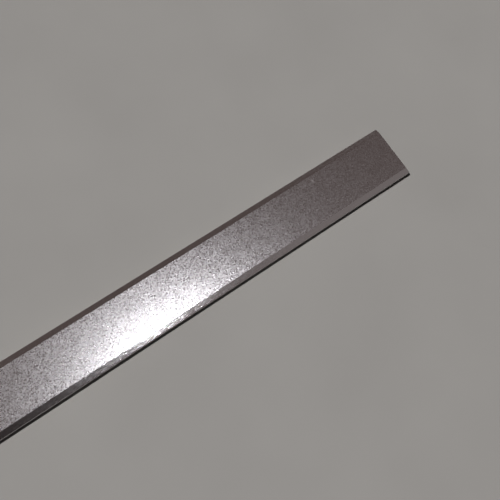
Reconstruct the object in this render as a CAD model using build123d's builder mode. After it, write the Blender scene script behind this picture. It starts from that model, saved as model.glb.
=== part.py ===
# One length of extruded aluminium cover profile, in millimetres.
# The stock lies along X with its show face up and its two side legs on the ground.
# The origin is at the middle of its length and width, on the ground.
import os
from math import atan2, tan

from build123d import *

# Stock
stock_length = 1000.0

# Outer section
overall_width = 50.0
overall_height = 12.0
bevel_run = 5.0
bevel_drop = 1.5

# Walls
face_wall = 1.6
leg_wall = 1.5

# The two ribs under the face
rib_spacing = 20.0
rib_wall = 1.4
rib_depth = 6.0

# Radii that the die leaves on the corners
ridge_radius = 0.35
shoulder_radius = 0.6
inside_radius = 0.5
toe_radius = 0.35

# Outline points that follow from the sizes above
half_width = overall_width / 2
half_face = half_width - bevel_run
shoulder_level = overall_height - bevel_drop
underface_level = overall_height - face_wall
rib_tip_level = underface_level - rib_depth

# The inside follows the outside at one wall, so its ridge lies in by the mitre of the bevel angle
bevel_slope = bevel_drop / bevel_run
bevel_angle = atan2(bevel_drop, bevel_run)
half_underface = half_face - face_wall * tan(bevel_angle / 2)
half_inside = half_width - leg_wall
inner_shoulder_level = underface_level - (half_inside - half_underface) * bevel_slope

with BuildPart() as aluminium_profile:
    # The section is drawn looking along the stock: across is Y, up is Z
    with BuildSketch(Plane.YZ) as section:
        # Outside: two legs, two bevels and the flat face
        with BuildLine():
            Polyline(
                (-half_width, 0),
                (-half_width, shoulder_level),
                (-half_face, overall_height),
                (half_face, overall_height),
                (half_width, shoulder_level),
                (half_width, 0),
                close=True,
            )
        make_face()

        # Inside: the open back of the channel
        with BuildLine():
            Polyline(
                (-half_inside, 0),
                (-half_inside, inner_shoulder_level),
                (-half_underface, underface_level),
                (half_underface, underface_level),
                (half_inside, inner_shoulder_level),
                (half_inside, 0),
                close=True,
            )
        make_face(mode=Mode.SUBTRACT)

        # Two ribs hang from the face, rooted half a wall deep in it
        rib_root = face_wall / 2
        with Locations(
            (-rib_spacing / 2, underface_level + rib_root),
            (rib_spacing / 2, underface_level + rib_root),
        ):
            Rectangle(rib_wall, rib_depth + rib_root, align=(Align.CENTER, Align.MAX))

        # Each level of the section has corners of one kind
        def corners_at(level):
            return section.vertices().filter_by_position(Axis.Y, level - 0.01, level + 0.01)

        fillet(corners_at(overall_height), radius=ridge_radius)
        fillet(corners_at(shoulder_level), radius=shoulder_radius)
        fillet(corners_at(inner_shoulder_level), radius=inside_radius)
        fillet(corners_at(underface_level), radius=inside_radius)
        fillet(corners_at(rib_tip_level), radius=min(toe_radius, rib_wall * 0.45))
        fillet(corners_at(0), radius=min(toe_radius, leg_wall * 0.45))

    # Square saw cuts at both ends
    extrude(amount=stock_length / 2, both=True)

aluminium_profile.part.label = "aluminium_profile"

os.makedirs("parts", exist_ok=True)
export_step(aluminium_profile.part, "parts/aluminium_profile.step")

section_area = aluminium_profile.part.volume / stock_length
print("section area", round(section_area, 1), "mm2")
print("weight of the length", round(section_area * stock_length * 2.7e-6, 3), "kg")
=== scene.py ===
# %% [markdown]
# # A length of aluminium cover profile
#
# The part is one metre of extruded aluminium: a flat show face with a bevel along each
# side, two short legs that stand on the floor, and two ribs hidden underneath. It was
# blasted to a matt grain and anodised, and then sawn to length.
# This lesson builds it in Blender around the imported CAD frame, in metres, with the stock
# along X, its show face up and the floor at zero.

# %% Open the frame
import math

import bmesh
import bpy
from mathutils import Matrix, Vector


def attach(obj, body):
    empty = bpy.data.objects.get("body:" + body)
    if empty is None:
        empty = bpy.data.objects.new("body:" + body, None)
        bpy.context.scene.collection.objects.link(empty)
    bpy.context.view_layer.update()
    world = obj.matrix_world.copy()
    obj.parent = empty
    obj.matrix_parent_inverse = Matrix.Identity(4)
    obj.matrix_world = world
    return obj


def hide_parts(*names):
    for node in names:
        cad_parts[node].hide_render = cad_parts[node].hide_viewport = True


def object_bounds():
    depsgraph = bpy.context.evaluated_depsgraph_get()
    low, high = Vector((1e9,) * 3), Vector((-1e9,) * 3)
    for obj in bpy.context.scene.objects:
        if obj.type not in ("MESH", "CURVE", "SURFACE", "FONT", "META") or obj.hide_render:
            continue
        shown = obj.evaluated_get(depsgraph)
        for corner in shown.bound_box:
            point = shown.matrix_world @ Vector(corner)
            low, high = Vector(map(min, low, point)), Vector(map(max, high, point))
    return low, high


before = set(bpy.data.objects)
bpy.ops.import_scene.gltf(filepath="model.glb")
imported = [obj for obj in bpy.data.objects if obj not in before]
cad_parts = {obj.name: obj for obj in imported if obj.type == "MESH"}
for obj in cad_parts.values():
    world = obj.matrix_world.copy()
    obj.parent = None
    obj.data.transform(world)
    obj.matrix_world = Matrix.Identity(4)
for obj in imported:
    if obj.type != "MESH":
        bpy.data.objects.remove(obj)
MM = 0.001
cad_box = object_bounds()
cad_low, cad_high = Vector(cad_box[0]), Vector(cad_box[1])
print("CAD box from", cad_low, "to", cad_high)

# %% [markdown]
# ## The viewpoint
#
# The stock is looked at from close above, with a phone held some 40 cm over the part of
# it near one cut end. A camera can be placed by eye, or fitted so that the long edges and
# the corners of the cut end fall where they should. The fitted numbers are used here,
# because a bar that is twenty times as long as it is wide looks wrong at once when its
# edges converge at the wrong rate.

# %% Place the camera
viewpoint = (0.2399, -0.0730, 0.4295)
camera_turns = (14.75, -5.95, -34.45)

camera_data = bpy.data.cameras.new("viewpoint")
camera_data.sensor_width = 36.0
camera_data.lens = 37.6
camera_data.clip_start = 0.01
camera = bpy.data.objects.new("viewpoint", camera_data)
camera.location = viewpoint
camera.rotation_euler = [math.radians(turn) for turn in camera_turns]
bpy.context.scene.collection.objects.link(camera)
bpy.context.scene.camera = camera
bpy.context.scene.view_settings.view_transform = "Standard"
print("camera stands", round(camera.location.z, 3), "m above the floor")


# %% [markdown]
# ## Helpers for materials
#
# Every material below is a chain of nodes. Each node could be written out in full, with a
# line for each of its sockets. Short helpers read better, and they keep one good habit:
# every call says what feeds the node.

# %% Add one node
def add_node(tree, kind, settings=None, inputs=None):
    """Add a shader node, set its properties, and fill or link its inputs."""
    node = tree.nodes.new(kind)
    for name, value in (settings or {}).items():
        setattr(node, name, value)
    for name, value in (inputs or {}).items():
        if isinstance(value, bpy.types.NodeSocket):
            tree.links.new(value, node.inputs[name])
        else:
            node.inputs[name].default_value = value
    return node


# %% Nodes that work something out
def number_math(tree, operation, first, second):
    """Combine two numbers."""
    node = add_node(tree, "ShaderNodeMath", {"operation": operation}, {0: first, 1: second})
    return node.outputs["Value"]


def vector_math(tree, operation, first, second):
    """Combine two vectors, into a number for a dot product or a distance."""
    node = add_node(tree, "ShaderNodeVectorMath", {"operation": operation}, {0: first, 1: second})
    gives_number = operation in ("DOT_PRODUCT", "DISTANCE")
    return node.outputs["Value" if gives_number else "Vector"]


def remap(tree, value, source, result):
    """Carry a value from one range over to another, and hold it within that one."""
    ranges = {"From Min": source[0], "From Max": source[1], "To Min": result[0], "To Max": result[1]}
    return add_node(tree, "ShaderNodeMapRange", inputs={"Value": value, **ranges}).outputs["Result"]


def add_ramp(tree, value, *stops):
    """Blend from one colour to another, each given with the value where it starts or ends."""
    node = add_node(tree, "ShaderNodeValToRGB", inputs={"Fac": value})
    for element, (position, colour) in zip(node.color_ramp.elements, stops):
        element.position = position
        element.color = (*colour, 1)
    return node.outputs["Color"]


# %% Patterns and new materials
def add_noise(tree, place, scale, detail):
    """Add a noise with as many grains to a unit of length as its scale says."""
    pattern = {"Vector": place, "Scale": scale, "Detail": detail}
    return add_node(tree, "ShaderNodeTexNoise", inputs=pattern)


def add_bump(tree, height, strength, depth):
    """Let the surface look raised where the height is large."""
    relief = {"Height": height, "Strength": strength, "Distance": depth}
    return add_node(tree, "ShaderNodeBump", inputs=relief).outputs["Normal"]


def start_material(name, wearer, metallic):
    """Put a new material on an object, and return its tree, its shader's inputs and its places."""
    material = bpy.data.materials.new(name)
    material.use_nodes = True
    wearer.data.materials.append(material)
    tree = material.node_tree
    surface = tree.nodes["Principled BSDF"].inputs
    surface["Metallic"].default_value = metallic
    return tree, surface, add_node(tree, "ShaderNodeTexCoord").outputs


# %% [markdown]
# ## Floor
#
# The stock lies on a plain pale floor. The floor is a stage and no part of the object, so
# one large plane is enough, wide enough that its corners never show in low views. It has
# almost no gloss, so that it shows the thin contact shadow and nothing else.

# %% Lay the floor
floor_size = 80.0

bpy.ops.object.select_all(action="DESELECT")
bpy.ops.mesh.primitive_plane_add(size=floor_size, location=(0, 0, cad_low.z))
floor = bpy.context.object
floor.name = "floor"
print("floor is", round(floor.dimensions.x, 1), "m across")

# %% Paint the floor
floor_dark = (0.268, 0.256, 0.244)
floor_pale = (0.311, 0.298, 0.284)
clouds_per_metre = 9.0

tree, surface, places = start_material("floor_paint", floor, metallic=0.0)
surface["Roughness"].default_value = 0.9
surface["Specular IOR Level"].default_value = 0.1
clouds = add_noise(tree, places["Object"], clouds_per_metre, detail=3.0)
floor_colour = add_ramp(tree, clouds.outputs["Fac"], (0.0, floor_dark), (1.0, floor_pale))
tree.links.new(floor_colour, surface["Base Color"])
print("clouds on the floor are about", round(100 / clouds_per_metre), "cm apart")

# %% [markdown]
# ## Sky
#
# Satin metal shows the room more than its own colour. One even sky would make the face
# and both bevels the same grey. This sky is dark overhead, so that the flat face stays
# deep grey away from the highlight, and pale at the horizon, so that low views have a
# pale background and the legs have something to mirror. The pale band stands higher
# behind the stock than behind the viewer, or the rounding at the foot of the front bevel
# would mirror it as a light line that the real one doesn't have.

# %% Sky colour
horizon_colour = (0.62, 0.61, 0.60)
overhead_colour = (0.100, 0.0775, 0.072)
pale_up_to, dark_from = 0.03, 0.46
sky_lean = (0.0, -0.2, 1.0)

world = bpy.data.worlds.new("sky")
bpy.context.scene.world = world
world.use_nodes = True
tree = world.node_tree
background = tree.nodes["Background"].inputs
direction = add_node(tree, "ShaderNodeTexCoord").outputs["Generated"]
slant = vector_math(tree, "DOT_PRODUCT", direction, sky_lean)
sky_colour = add_ramp(tree, slant, (pale_up_to, horizon_colour), (dark_from, overhead_colour))
tree.links.new(sky_colour, background["Color"])
print("sky is pale up to", pale_up_to, "and dark from", dark_from)

# %% [markdown]
# ## What the sky does for reflections and for the floor
#
# Whoever holds the phone stands in the way of the room's light, and the far part of the
# front bevel mirrors them. A stand-in figure would show in other views. A dark patch low
# in the sky, down to the horizon, does it instead: reflections see it and the camera
# doesn't. The sky also shines only weakly on the floor, because the real contact shadow
# is nearly black.

# %% Sky strength
# A smaller number makes the patch longer along that axis
patch_stretch = (0.6, 0.4, 0.2)
patch_middle = (-0.25, -0.26, 0.07)
patch_core, patch_rim = 0.12, 0.35
patch_strength = 0.1
floor_strength = 0.1

ray = add_node(tree, "ShaderNodeLightPath").outputs
stretched_direction = vector_math(tree, "MULTIPLY", direction, patch_stretch)
from_patch = vector_math(tree, "DISTANCE", stretched_direction, patch_middle)

# A camera ray counts as one unit further off, so the camera never sees the patch
hidden_from_camera = number_math(tree, "ADD", from_patch, ray["Is Camera Ray"])
with_patch = remap(tree, hidden_from_camera, (patch_core, patch_rim), (patch_strength, 1.0))
on_floor = remap(tree, ray["Is Diffuse Ray"], (0.0, 1.0), (1.0, floor_strength))
sky_strength = number_math(tree, "MULTIPLY", with_patch, on_floor)
tree.links.new(sky_strength, background["Strength"])
print("sky shines on the floor at", floor_strength, "of its strength")


# %% [markdown]
# ## Lamps
#
# The metal and the floor are lit apart, because one bright lamp for both would burn out
# the floor. A small round lamp beside the camera gives both highlights, the wide one on
# the show face and the narrow one on the front bevel. Its light isn't passed on, because
# a bounce off the leg would light up the thin shadow in front of it. Two wide lamps that
# stand further off fill the bevel near the cut end and the far end of the stock. A sun
# that no reflection shows lights the floor. It leaves a thin shadow along the front leg
# and a short one past the cut end, which the face hides from this viewpoint.

# %% Helpers for lamps
def aim(lamp, direction):
    """Turn a lamp so that it shines in a direction."""
    lamp.rotation_euler = Vector(direction).to_track_quat("-Z", "Y").to_euler()


def add_lamp(name, size, power, place, target):
    """Add a round lamp that shines from place to target and that only the metal shows."""
    data = bpy.data.lights.new(name, "AREA")
    data.shape = "DISK"
    data.size = size
    data.energy = power
    lamp = bpy.data.objects.new(name, data)
    lamp.location = place
    aim(lamp, Vector(target) - Vector(place))
    lamp.visible_camera = False
    lamp.visible_diffuse = False
    bpy.context.scene.collection.objects.link(lamp)
    return lamp


# %% Lamps for the metal
highlight_lamp = add_lamp(
    "highlight_lamp", size=0.06, power=3.05, place=(0.238, -0.107, 0.425), target=(0.238, -0.107, 0.0)
)
highlight_lamp.data.cycles.max_bounces = 0
highlight_lamp.data.color = (0.96, 0.965, 1.0)
add_lamp("side_fill", size=1.35, power=0.52, place=(1.27, -0.68, 1.22), target=(0.47, -0.02, 0.0))
add_lamp("far_end_fill", size=0.8, power=8.0, place=(-1.2, 0.5, 0.9), target=(-0.3, 0.0, 0.0))
print("highlight lamp hangs", round(highlight_lamp.location.z, 3), "m above the floor")

# %% Sun for the floor
sun_direction = (0.6, -0.13, -1.0)

sun_data = bpy.data.lights.new("floor_lamp", "SUN")
sun_data.energy = 3.6
sun_data.angle = math.radians(1.0)
sun = bpy.data.objects.new("floor_lamp", sun_data)
aim(sun, sun_direction)
sun.visible_glossy = False
sun.visible_camera = False
bpy.context.scene.collection.objects.link(sun)


# %% [markdown]
# ## Helpers for selecting
#
# By hand, edges and faces are clicked on. A script could call them by their numbers, but
# those change with every cut. Here each one is picked by where it lies or which way it
# looks, and whatever the step before left selected is let go first.

# %% Helpers for selecting
touching = 0.02 * MM


def near(value, target):
    """Two lengths agree to a fiftieth of a millimetre."""
    return abs(value - target) < touching


def pick(kind, test):
    """In edit mode, select only the vertices, edges or faces that pass the test, and count them."""
    bpy.context.tool_settings.mesh_select_mode = (kind == "verts", kind == "edges", kind == "faces")
    bpy.ops.mesh.select_all(action="DESELECT")
    mesh = bmesh.from_edit_mesh(bpy.context.object.data)
    chosen = 0
    for item in getattr(mesh, kind):
        if kind == "verts":
            passes = test(item.co)
        elif kind == "edges":
            passes = test(item.verts[0].co, item.verts[1].co)
        else:
            passes = test(item.calc_center_median(), item.normal)
        if passes:
            item.select_set(True)
            chosen += 1
    mesh.select_flush_mode()
    bmesh.update_edit_mesh(bpy.context.object.data)
    return chosen


# %% [markdown]
# ## The profile's skin
#
# An extruded section is the same all along its length, so the piece could be a closed
# outline pulled along X, or a block with the hollow cut out of it by a boolean. Folding
# it from a strip keeps clean four-sided faces and follows how the shape reads: start with
# the flat show face, pull its long edges out and down for the bevels, and then straight
# down for the legs.

# %% Sizes of the outside
length = cad_high.x - cad_low.x
width = cad_high.y - cad_low.y
top = cad_high.z
bevel_run = 5.0 * MM
bevel_drop = 1.5 * MM
half_width = width / 2
half_face = half_width - bevel_run
shoulder_level = top - bevel_drop
print("show face is", round(2 * half_face / MM, 1), "of", round(width / MM, 1), "mm wide")

# %% Fold the skin from one strip
bpy.ops.object.select_all(action="DESELECT")
bpy.ops.mesh.primitive_plane_add(size=1.0, location=(0, 0, top))
profile = bpy.context.object
profile.name = "cover_profile"
profile.scale = (length, 2 * half_face, 1)
bpy.ops.object.transform_apply(location=True, rotation=False, scale=True)

bpy.ops.object.mode_set(mode="EDIT")
for side in (-1, 1):
    pick("edges", lambda a, b: near(a.y, side * half_face) and near(b.y, side * half_face))
    bevel_step = (0, side * bevel_run, -bevel_drop)
    bpy.ops.mesh.extrude_edges_move(TRANSFORM_OT_translate={"value": bevel_step})
    leg_step = (0, 0, -shoulder_level)
    bpy.ops.mesh.extrude_edges_move(TRANSFORM_OT_translate={"value": leg_step})
bpy.ops.mesh.select_all(action="SELECT")
bpy.ops.mesh.normals_make_consistent(inside=False)
bpy.ops.object.mode_set(mode="OBJECT")
show_face = min(profile.data.polygons, key=lambda face: abs(face.center.y))
print(len(profile.data.polygons), "strips, show face looks", round(show_face.normal.z, 2), "up")

# %% [markdown]
# ## Walls
#
# The real walls are about one and a half millimetres thick. Solidify gives the strip its
# wall, and even thickness keeps the mitre at each fold right. The face and the bevels are
# a tenth of a millimetre thicker than the legs, so the inner side of each leg is moved
# out by that much, sliding along the slope of the bevel.

# %% Give the strip its wall
face_wall = 1.6 * MM

wall = profile.modifiers.new("wall", "SOLIDIFY")
wall.thickness = face_wall
wall.offset = -1.0
wall.use_even_offset = True
bpy.ops.object.modifier_apply(modifier=wall.name)
print(len(profile.data.polygons), "faces with the wall")

# %% Thin the legs
leg_wall = 1.5 * MM
inner_side = half_width - face_wall
thinned_by = face_wall - leg_wall
slope = bevel_drop / bevel_run
leg_middle = shoulder_level / 2

bpy.ops.object.mode_set(mode="EDIT")
for side in (-1, 1):
    moved = pick("verts", lambda p: near(p.y, side * inner_side) and p.z > leg_middle)
    bpy.ops.transform.translate(value=(0, side * thinned_by, -thinned_by * slope))
    moved += pick("verts", lambda p: near(p.y, side * inner_side) and p.z < leg_middle)
    bpy.ops.transform.translate(value=(0, side * thinned_by, 0))
    print("inner leg corners moved:", moved)
bpy.ops.object.mode_set(mode="OBJECT")

# %% [markdown]
# ## Ribs
#
# Two ribs run under the face, where a fixing clips in. They could be separate bars pushed
# into the wall, but then faces would hide inside the metal. Instead the underside is cut
# along the sides of each rib, and the two strips between the cuts are pulled down.

# %% Pull the ribs down from the underside
rib_spacing = 20.0 * MM
rib_wall = 1.4 * MM
rib_depth = 6.0 * MM
underface_level = top - face_wall

# A face looks straight along an axis when more of its normal than this points that way
square_on = 0.99


def on_underside(middle, normal):
    """True for a face of the flat underside of the show face."""
    return near(middle.z, underface_level) and normal.z < -square_on


bpy.ops.object.mode_set(mode="EDIT")
for side in (-1, 1):
    for edge in (-1, 1):
        cut_at = side * rib_spacing / 2 + edge * rib_wall / 2
        pick("faces", on_underside)
        bpy.ops.mesh.bisect(plane_co=(0, cut_at, 0), plane_no=(0, 1, 0))
strips = pick(
    "faces",
    lambda middle, normal: on_underside(middle, normal) and near(abs(middle.y), rib_spacing / 2),
)
bpy.ops.mesh.extrude_region_move(TRANSFORM_OT_translate={"value": (0, 0, -rib_depth)})
print("ribs pulled down:", strips)

# %% Make each end of the stock one flat face again
level_within = math.radians(1)
pick("faces", lambda middle, normal: abs(normal.x) > square_on)
bpy.ops.mesh.dissolve_limited(angle_limit=level_within)
bpy.ops.object.mode_set(mode="OBJECT")
print(len(profile.data.polygons), "faces so far")

# %% [markdown]
# ## Corner roundings
#
# A die can't cut a sharp corner, so every long edge has a small radius. A bevel modifier
# would use one width for all of them. The edges are picked by their place instead, and
# each kind gets its own radius. The bevel tool asks for a width along the faces, which
# is the radius times the tangent of half the turn.

# %% Where the corners lie and how far they turn
right_angle = math.pi / 2
bevel_turn = math.atan2(bevel_drop, bevel_run)
shoulder_turn = right_angle - bevel_turn
half_underface = half_face - face_wall * math.tan(bevel_turn / 2)
half_inside = half_width - leg_wall
inner_shoulder_level = underface_level - (half_inside - half_underface) * slope
rib_tip_level = underface_level - rib_depth
rib_sides = ((rib_spacing - rib_wall) / 2, (rib_spacing + rib_wall) / 2)
print("the ridges turn by", round(math.degrees(bevel_turn), 1), "degrees")


# %% Helper for rounding
def round_edges(name, radius, turn, facets, level, distances):
    """Round the long edges at a level and at these distances from the middle."""

    def lies_there(a, b):
        runs_along = abs(a.x - b.x) > length / 2
        return runs_along and near(a.z, level) and any(near(abs(a.y), y) for y in distances)

    count = pick("edges", lies_there)
    bpy.ops.mesh.bevel(
        offset=radius * math.tan(turn / 2),
        offset_type="OFFSET",
        segments=facets,
        affect="EDGES",
        clamp_overlap=False,
    )
    print(name, "edges rounded:", count, "at", round(radius / MM, 2), "mm")


# %% Round the long edges
ridge_radius = 0.35 * MM
shoulder_radius = 0.6 * MM
inside_radius = 0.5 * MM
toe_radius = 0.35 * MM

bpy.ops.object.mode_set(mode="EDIT")
for corner in (
    ("ridge", ridge_radius, bevel_turn, 4, top, (half_face,)),
    ("shoulder", shoulder_radius, shoulder_turn, 6, shoulder_level, (half_width,)),
    ("toe", toe_radius, right_angle, 5, 0.0, (half_inside, half_width)),
    ("rib tip", toe_radius, right_angle, 5, rib_tip_level, rib_sides),
    ("rib root", inside_radius, right_angle, 5, underface_level, rib_sides),
    ("inner ridge", inside_radius, bevel_turn, 4, underface_level, (half_underface,)),
    ("inner shoulder", inside_radius, shoulder_turn, 5, inner_shoulder_level, (half_inside,)),
):
    round_edges(*corner)
bpy.ops.object.mode_set(mode="OBJECT")

# %% [markdown]
# ## Sawn ends
#
# Both ends are square saw cuts. A fresh cut has a burr, which a few strokes of a file
# turn into a tiny chamfer, and that chamfer catches the light along the end. The bevel
# tool leaves small bumps where the rim crosses the roundings. So each end face is pushed
# in by the depth of the chamfer, and then inset by as much and brought back out.

# %% Break the edges of the saw cuts
file_stroke = 0.12 * MM

bpy.ops.object.mode_set(mode="EDIT")
for side in (-1, 1):
    cut_faces = pick("faces", lambda middle, normal: normal.x * side > square_on)
    bpy.ops.transform.translate(value=(-side * file_stroke, 0, 0))
    bpy.ops.mesh.inset(thickness=file_stroke, depth=file_stroke, use_even_offset=True)
    print("saw cut faces chamfered:", cut_faces)
bpy.ops.object.mode_set(mode="OBJECT")

# %% [markdown]
# ## Shading
#
# The roundings are a few flat facets each, and the flats beside them are really flat.
# Smooth shading alone would bend the light across the wide faces. Weighted normals let
# each large face keep its own direction, so only the small roundings look curved.

# %% Shade the roundings smooth
sharp_from = math.radians(35)

bpy.ops.object.shade_smooth_by_angle(angle=sharp_from)
evened = profile.modifiers.new("flat faces stay flat", "WEIGHTED_NORMAL")
evened.mode = "FACE_AREA"
evened.keep_sharp = True
bpy.ops.object.modifier_apply(modifier=evened.name)
print(sum(edge.use_edge_sharp for edge in profile.data.edges), "edges stay sharp")

# %% Check that the mesh is closed
checked = bmesh.new()
checked.from_mesh(profile.data)
open_edges = [edge for edge in checked.edges if not edge.is_manifold]
print("open edges:", len(open_edges), "volume", round(checked.calc_volume() / MM ** 3), "mm3")
checked.free()

# %% [markdown]
# ## Blasted and anodised finish
#
# Glass beads leave the metal covered in tiny round dents, and anodising keeps that grain.
# Each dent tilts the mirror a little, so beside the highlight single grains flash. A bump
# node could do it, but it compares neighbouring pixels, and a grain is about one pixel
# here. Instead the noise's colour is added straight to the surface normal, so that each
# grain keeps its own tilt from any distance.

# %% Draw the grains
grains_per_metre = 1200.0

tree, surface, places = start_material("satin_anodised", profile, metallic=1.0)
grain = add_noise(tree, places["Object"], grains_per_metre, detail=0.0).outputs["Color"]
print("grains are about", round(1 / grains_per_metre / MM, 2), "mm apart")

# %% Tilt each grain
middle_grey = (0.5, 0.5, 0.5)
grain_tilt = 0.22

centred = vector_math(tree, "SUBTRACT", grain, middle_grey)
tilt = add_node(tree, "ShaderNodeVectorMath", {"operation": "SCALE"}, {0: centred, "Scale": grain_tilt})
flat = add_node(tree, "ShaderNodeNewGeometry")
tilted = vector_math(tree, "ADD", flat.outputs["Normal"], tilt.outputs["Vector"])
grain_normal = add_node(tree, "ShaderNodeVectorMath", {"operation": "NORMALIZE"}, {0: tilted})
tree.links.new(grain_normal.outputs["Vector"], surface["Normal"])
print("grains tilt by up to", round(math.degrees(math.atan(grain_tilt / 2))), "degrees each way")

# %% [markdown]
# ### Tone of the grain
#
# Dents also differ a little in brightness. The tone could follow the tilt, but then every
# bright grain would lean the same way and the highlight would get a streak. The blue
# channel is used, because it stands for up and down and says least about the tilt.

# %% Tone of the grain
least_blue, most_blue = 0.25, 0.75
dark_grain = (0.61, 0.588, 0.598)
pale_grain = (0.655, 0.632, 0.642)

blue = add_node(tree, "ShaderNodeSeparateColor", inputs={"Color": grain}).outputs["Blue"]
grain_tone = add_ramp(tree, blue, (least_blue, dark_grain), (most_blue, pale_grain))
print("pale grains are", round(pale_grain[0] / dark_grain[0], 2), "times as bright as dark ones")

# %% [markdown]
# ### The scuff
#
# Near the cut end a short pale rub mark crosses the face, some 5 mm long. It could be its
# own small patch of mesh, but it has no depth. A soft oval on Object coordinates places
# it, and a noise breaks it up, so that it doesn't look stamped on.

# %% Place and shape of the scuff
scuff_middle = (419.7 * MM, 14.9 * MM, top)
scuff_turn = (0, 0, math.radians(-78))
scuff_reach = (3.9 * MM, 1.25 * MM, 1.0 * MM)
scuff_fades_at, scuff_full_at = 0.07, 0.32

fitted = {"Location": scuff_middle, "Rotation": scuff_turn, "Scale": scuff_reach}
scuff_place = add_node(
    tree,
    "ShaderNodeMapping",
    {"vector_type": "TEXTURE"},
    {"Vector": places["Object"], **fitted},
).outputs["Vector"]
oval = add_node(tree, "ShaderNodeTexGradient", {"gradient_type": "SPHERICAL"}, {"Vector": scuff_place})
broken_up = add_noise(tree, scuff_place, scale=1.6, detail=1.0)
rubbed = number_math(tree, "MULTIPLY", oval.outputs["Fac"], broken_up.outputs["Fac"])
scuff = remap(tree, rubbed, (scuff_fades_at, scuff_full_at), (0.0, 1.0))
print("scuff lies", round(scuff_middle[0] / MM, 1), "mm from the middle of the stock")

# %% Tone of the scuff
scuffed_tone = (0.75, 0.72, 0.72, 1)

# A Mix node has its two colours in inputs 6 and 7, and their mixture in output 2
face_tone = add_node(
    tree, "ShaderNodeMix", {"data_type": "RGBA"}, {"Factor": scuff, 6: grain_tone, 7: scuffed_tone}
)
tree.links.new(face_tone.outputs[2], surface["Base Color"])
print("scuff is", round(scuffed_tone[0] / pale_grain[0], 2), "times as bright as a pale grain")

# %% [markdown]
# ### Gloss
#
# The bevels are about twice as smooth as the face: their highlight is narrower and
# crisper. They could have a material of their own, but the grain runs on over the ridge
# without a step. So the gloss follows the slope of the surface, and the scuff dulls it.

# %% Gloss of the face, the bevels and the scuff
grain_roughness = (0.24, 0.34)
scuff_roughness = 0.37
bevel_share = 0.5

# Upness is how much of a surface's normal points up
bevel_upness, face_upness = 0.96, 0.995

grain_gloss = remap(tree, blue, (least_blue, most_blue), grain_roughness)
upness = add_node(tree, "ShaderNodeSeparateXYZ", inputs={"Vector": places["Normal"]}).outputs["Z"]
blast_depth = remap(tree, upness, (bevel_upness, face_upness), (bevel_share, 1.0))
unscuffed = number_math(tree, "MULTIPLY", grain_gloss, blast_depth)
face_gloss = remap(tree, scuff, (0.0, 1.0), (unscuffed, scuff_roughness))
tree.links.new(face_gloss, surface["Roughness"])
print("bevels have", bevel_share, "of the face's roughness")

# %% [markdown]
# ## Die finish
#
# The beads were aimed at the show side, so the legs and the inside keep the smooth skin
# that the die left, with fine lines along the stock. The lines are hundredths of a
# millimetre deep, too fine to model. A noise stretched along X draws them in the tone,
# the gloss and a faint bump.

# %% Draw the die lines
lines_per_metre = (4.0, 1500.0, 1500.0)

tree, surface, places = start_material("die_smooth_anodised", profile, metallic=1.0)
squeezed = add_node(
    tree, "ShaderNodeMapping", inputs={"Vector": places["Object"], "Scale": lines_per_metre}
)
lines = add_noise(tree, squeezed.outputs["Vector"], scale=1.0, detail=2.0).outputs["Fac"]
print("die lines are", round(1 / lines_per_metre[1] / MM, 2), "mm apart")

# %% Tone, gloss and bump of the die lines
line_low, line_high = 0.3, 0.7
dark_line = (0.56, 0.535, 0.54)
pale_line = (0.66, 0.635, 0.64)
line_roughness = (0.12, 0.2)
line_depth, line_strength = 0.02 * MM, 0.15

line_tone = add_ramp(tree, lines, (line_low, dark_line), (line_high, pale_line))
line_gloss = remap(tree, lines, (line_low, line_high), line_roughness)
tree.links.new(line_tone, surface["Base Color"])
tree.links.new(line_gloss, surface["Roughness"])
tree.links.new(add_bump(tree, lines, line_strength, line_depth), surface["Normal"])
print("die lines are", round(line_depth / MM, 2), "mm deep")

# %% [markdown]
# ## Sawn finish
#
# The stock was sawn after it was anodised, so the cuts are bare, paler metal with the
# marks of the teeth across them. Real grooves would be finer than anything seen here. A
# wave pattern, turned to the saw's direction and bent a little by its own distortion,
# gives the marks their tone, gloss and bump.

# %% Draw the tooth marks
saw_turn = (math.radians(-35), 0, 0)
mark_pattern = {"Scale": 450.0, "Distortion": 2.5, "Detail": 3.0, "Detail Scale": 1.5}

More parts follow.
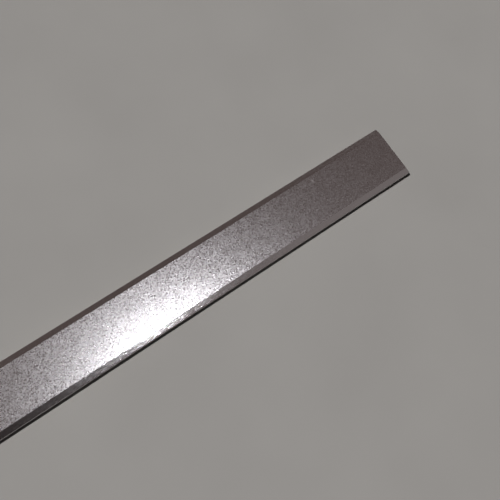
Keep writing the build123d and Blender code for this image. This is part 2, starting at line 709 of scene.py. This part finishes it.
tree, surface, places = start_material("sawn_bare", profile, metallic=1.0)
turned = add_node(tree, "ShaderNodeMapping", inputs={"Vector": places["Object"], "Rotation": saw_turn})
tooth_marks = add_node(
    tree,
    "ShaderNodeTexWave",
    {"bands_direction": "Y"},
    {"Vector": turned.outputs["Vector"], **mark_pattern},
).outputs["Fac"]
print("saw marks lean by", round(abs(math.degrees(saw_turn[0]))), "degrees")

# %% Tone, gloss and bump of the tooth marks
dark_mark = (0.62, 0.62, 0.63)
pale_mark = (0.82, 0.82, 0.83)
mark_roughness = (0.38, 0.22)
mark_depth, mark_strength = 0.03 * MM, 0.4

mark_tone = add_ramp(tree, tooth_marks, (0.0, dark_mark), (1.0, pale_mark))
mark_gloss = remap(tree, tooth_marks, (0.0, 1.0), mark_roughness)
tree.links.new(mark_tone, surface["Base Color"])
tree.links.new(mark_gloss, surface["Roughness"])
tree.links.new(add_bump(tree, tooth_marks, mark_strength, mark_depth), surface["Normal"])
print("finishes made:", [finish.name for finish in profile.data.materials])

# %% [markdown]
# ## Which face gets which finish
#
# The finishes meet at edges of the section, so a face has only one of them. A painted
# mask would blur that. The faces are picked by the way they look instead: sideways and
# down is die skin, along X is a saw cut with its chamfer, and the rest stays satin.

# %% Give each face its finish
# Satin faces look up by more than this, and a saw cut and its chamfer look along X by more
least_upness = 0.25
least_endness = 0.3

bpy.ops.object.select_all(action="DESELECT")
profile.select_set(True)
bpy.context.view_layer.objects.active = profile
bpy.ops.object.mode_set(mode="EDIT")
for slot, title, test in (
    (1, "die finish", lambda middle, normal: normal.z < least_upness),
    (2, "sawn finish", lambda middle, normal: abs(normal.x) > least_endness),
):
    count = pick("faces", test)
    profile.active_material_index = slot
    bpy.ops.object.material_slot_assign()
    print(title, "on", count, "faces")
bpy.ops.object.mode_set(mode="OBJECT")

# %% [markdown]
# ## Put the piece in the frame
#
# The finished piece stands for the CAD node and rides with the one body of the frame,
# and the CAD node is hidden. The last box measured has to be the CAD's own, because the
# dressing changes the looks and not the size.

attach(profile, "root")
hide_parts("aluminium_profile")
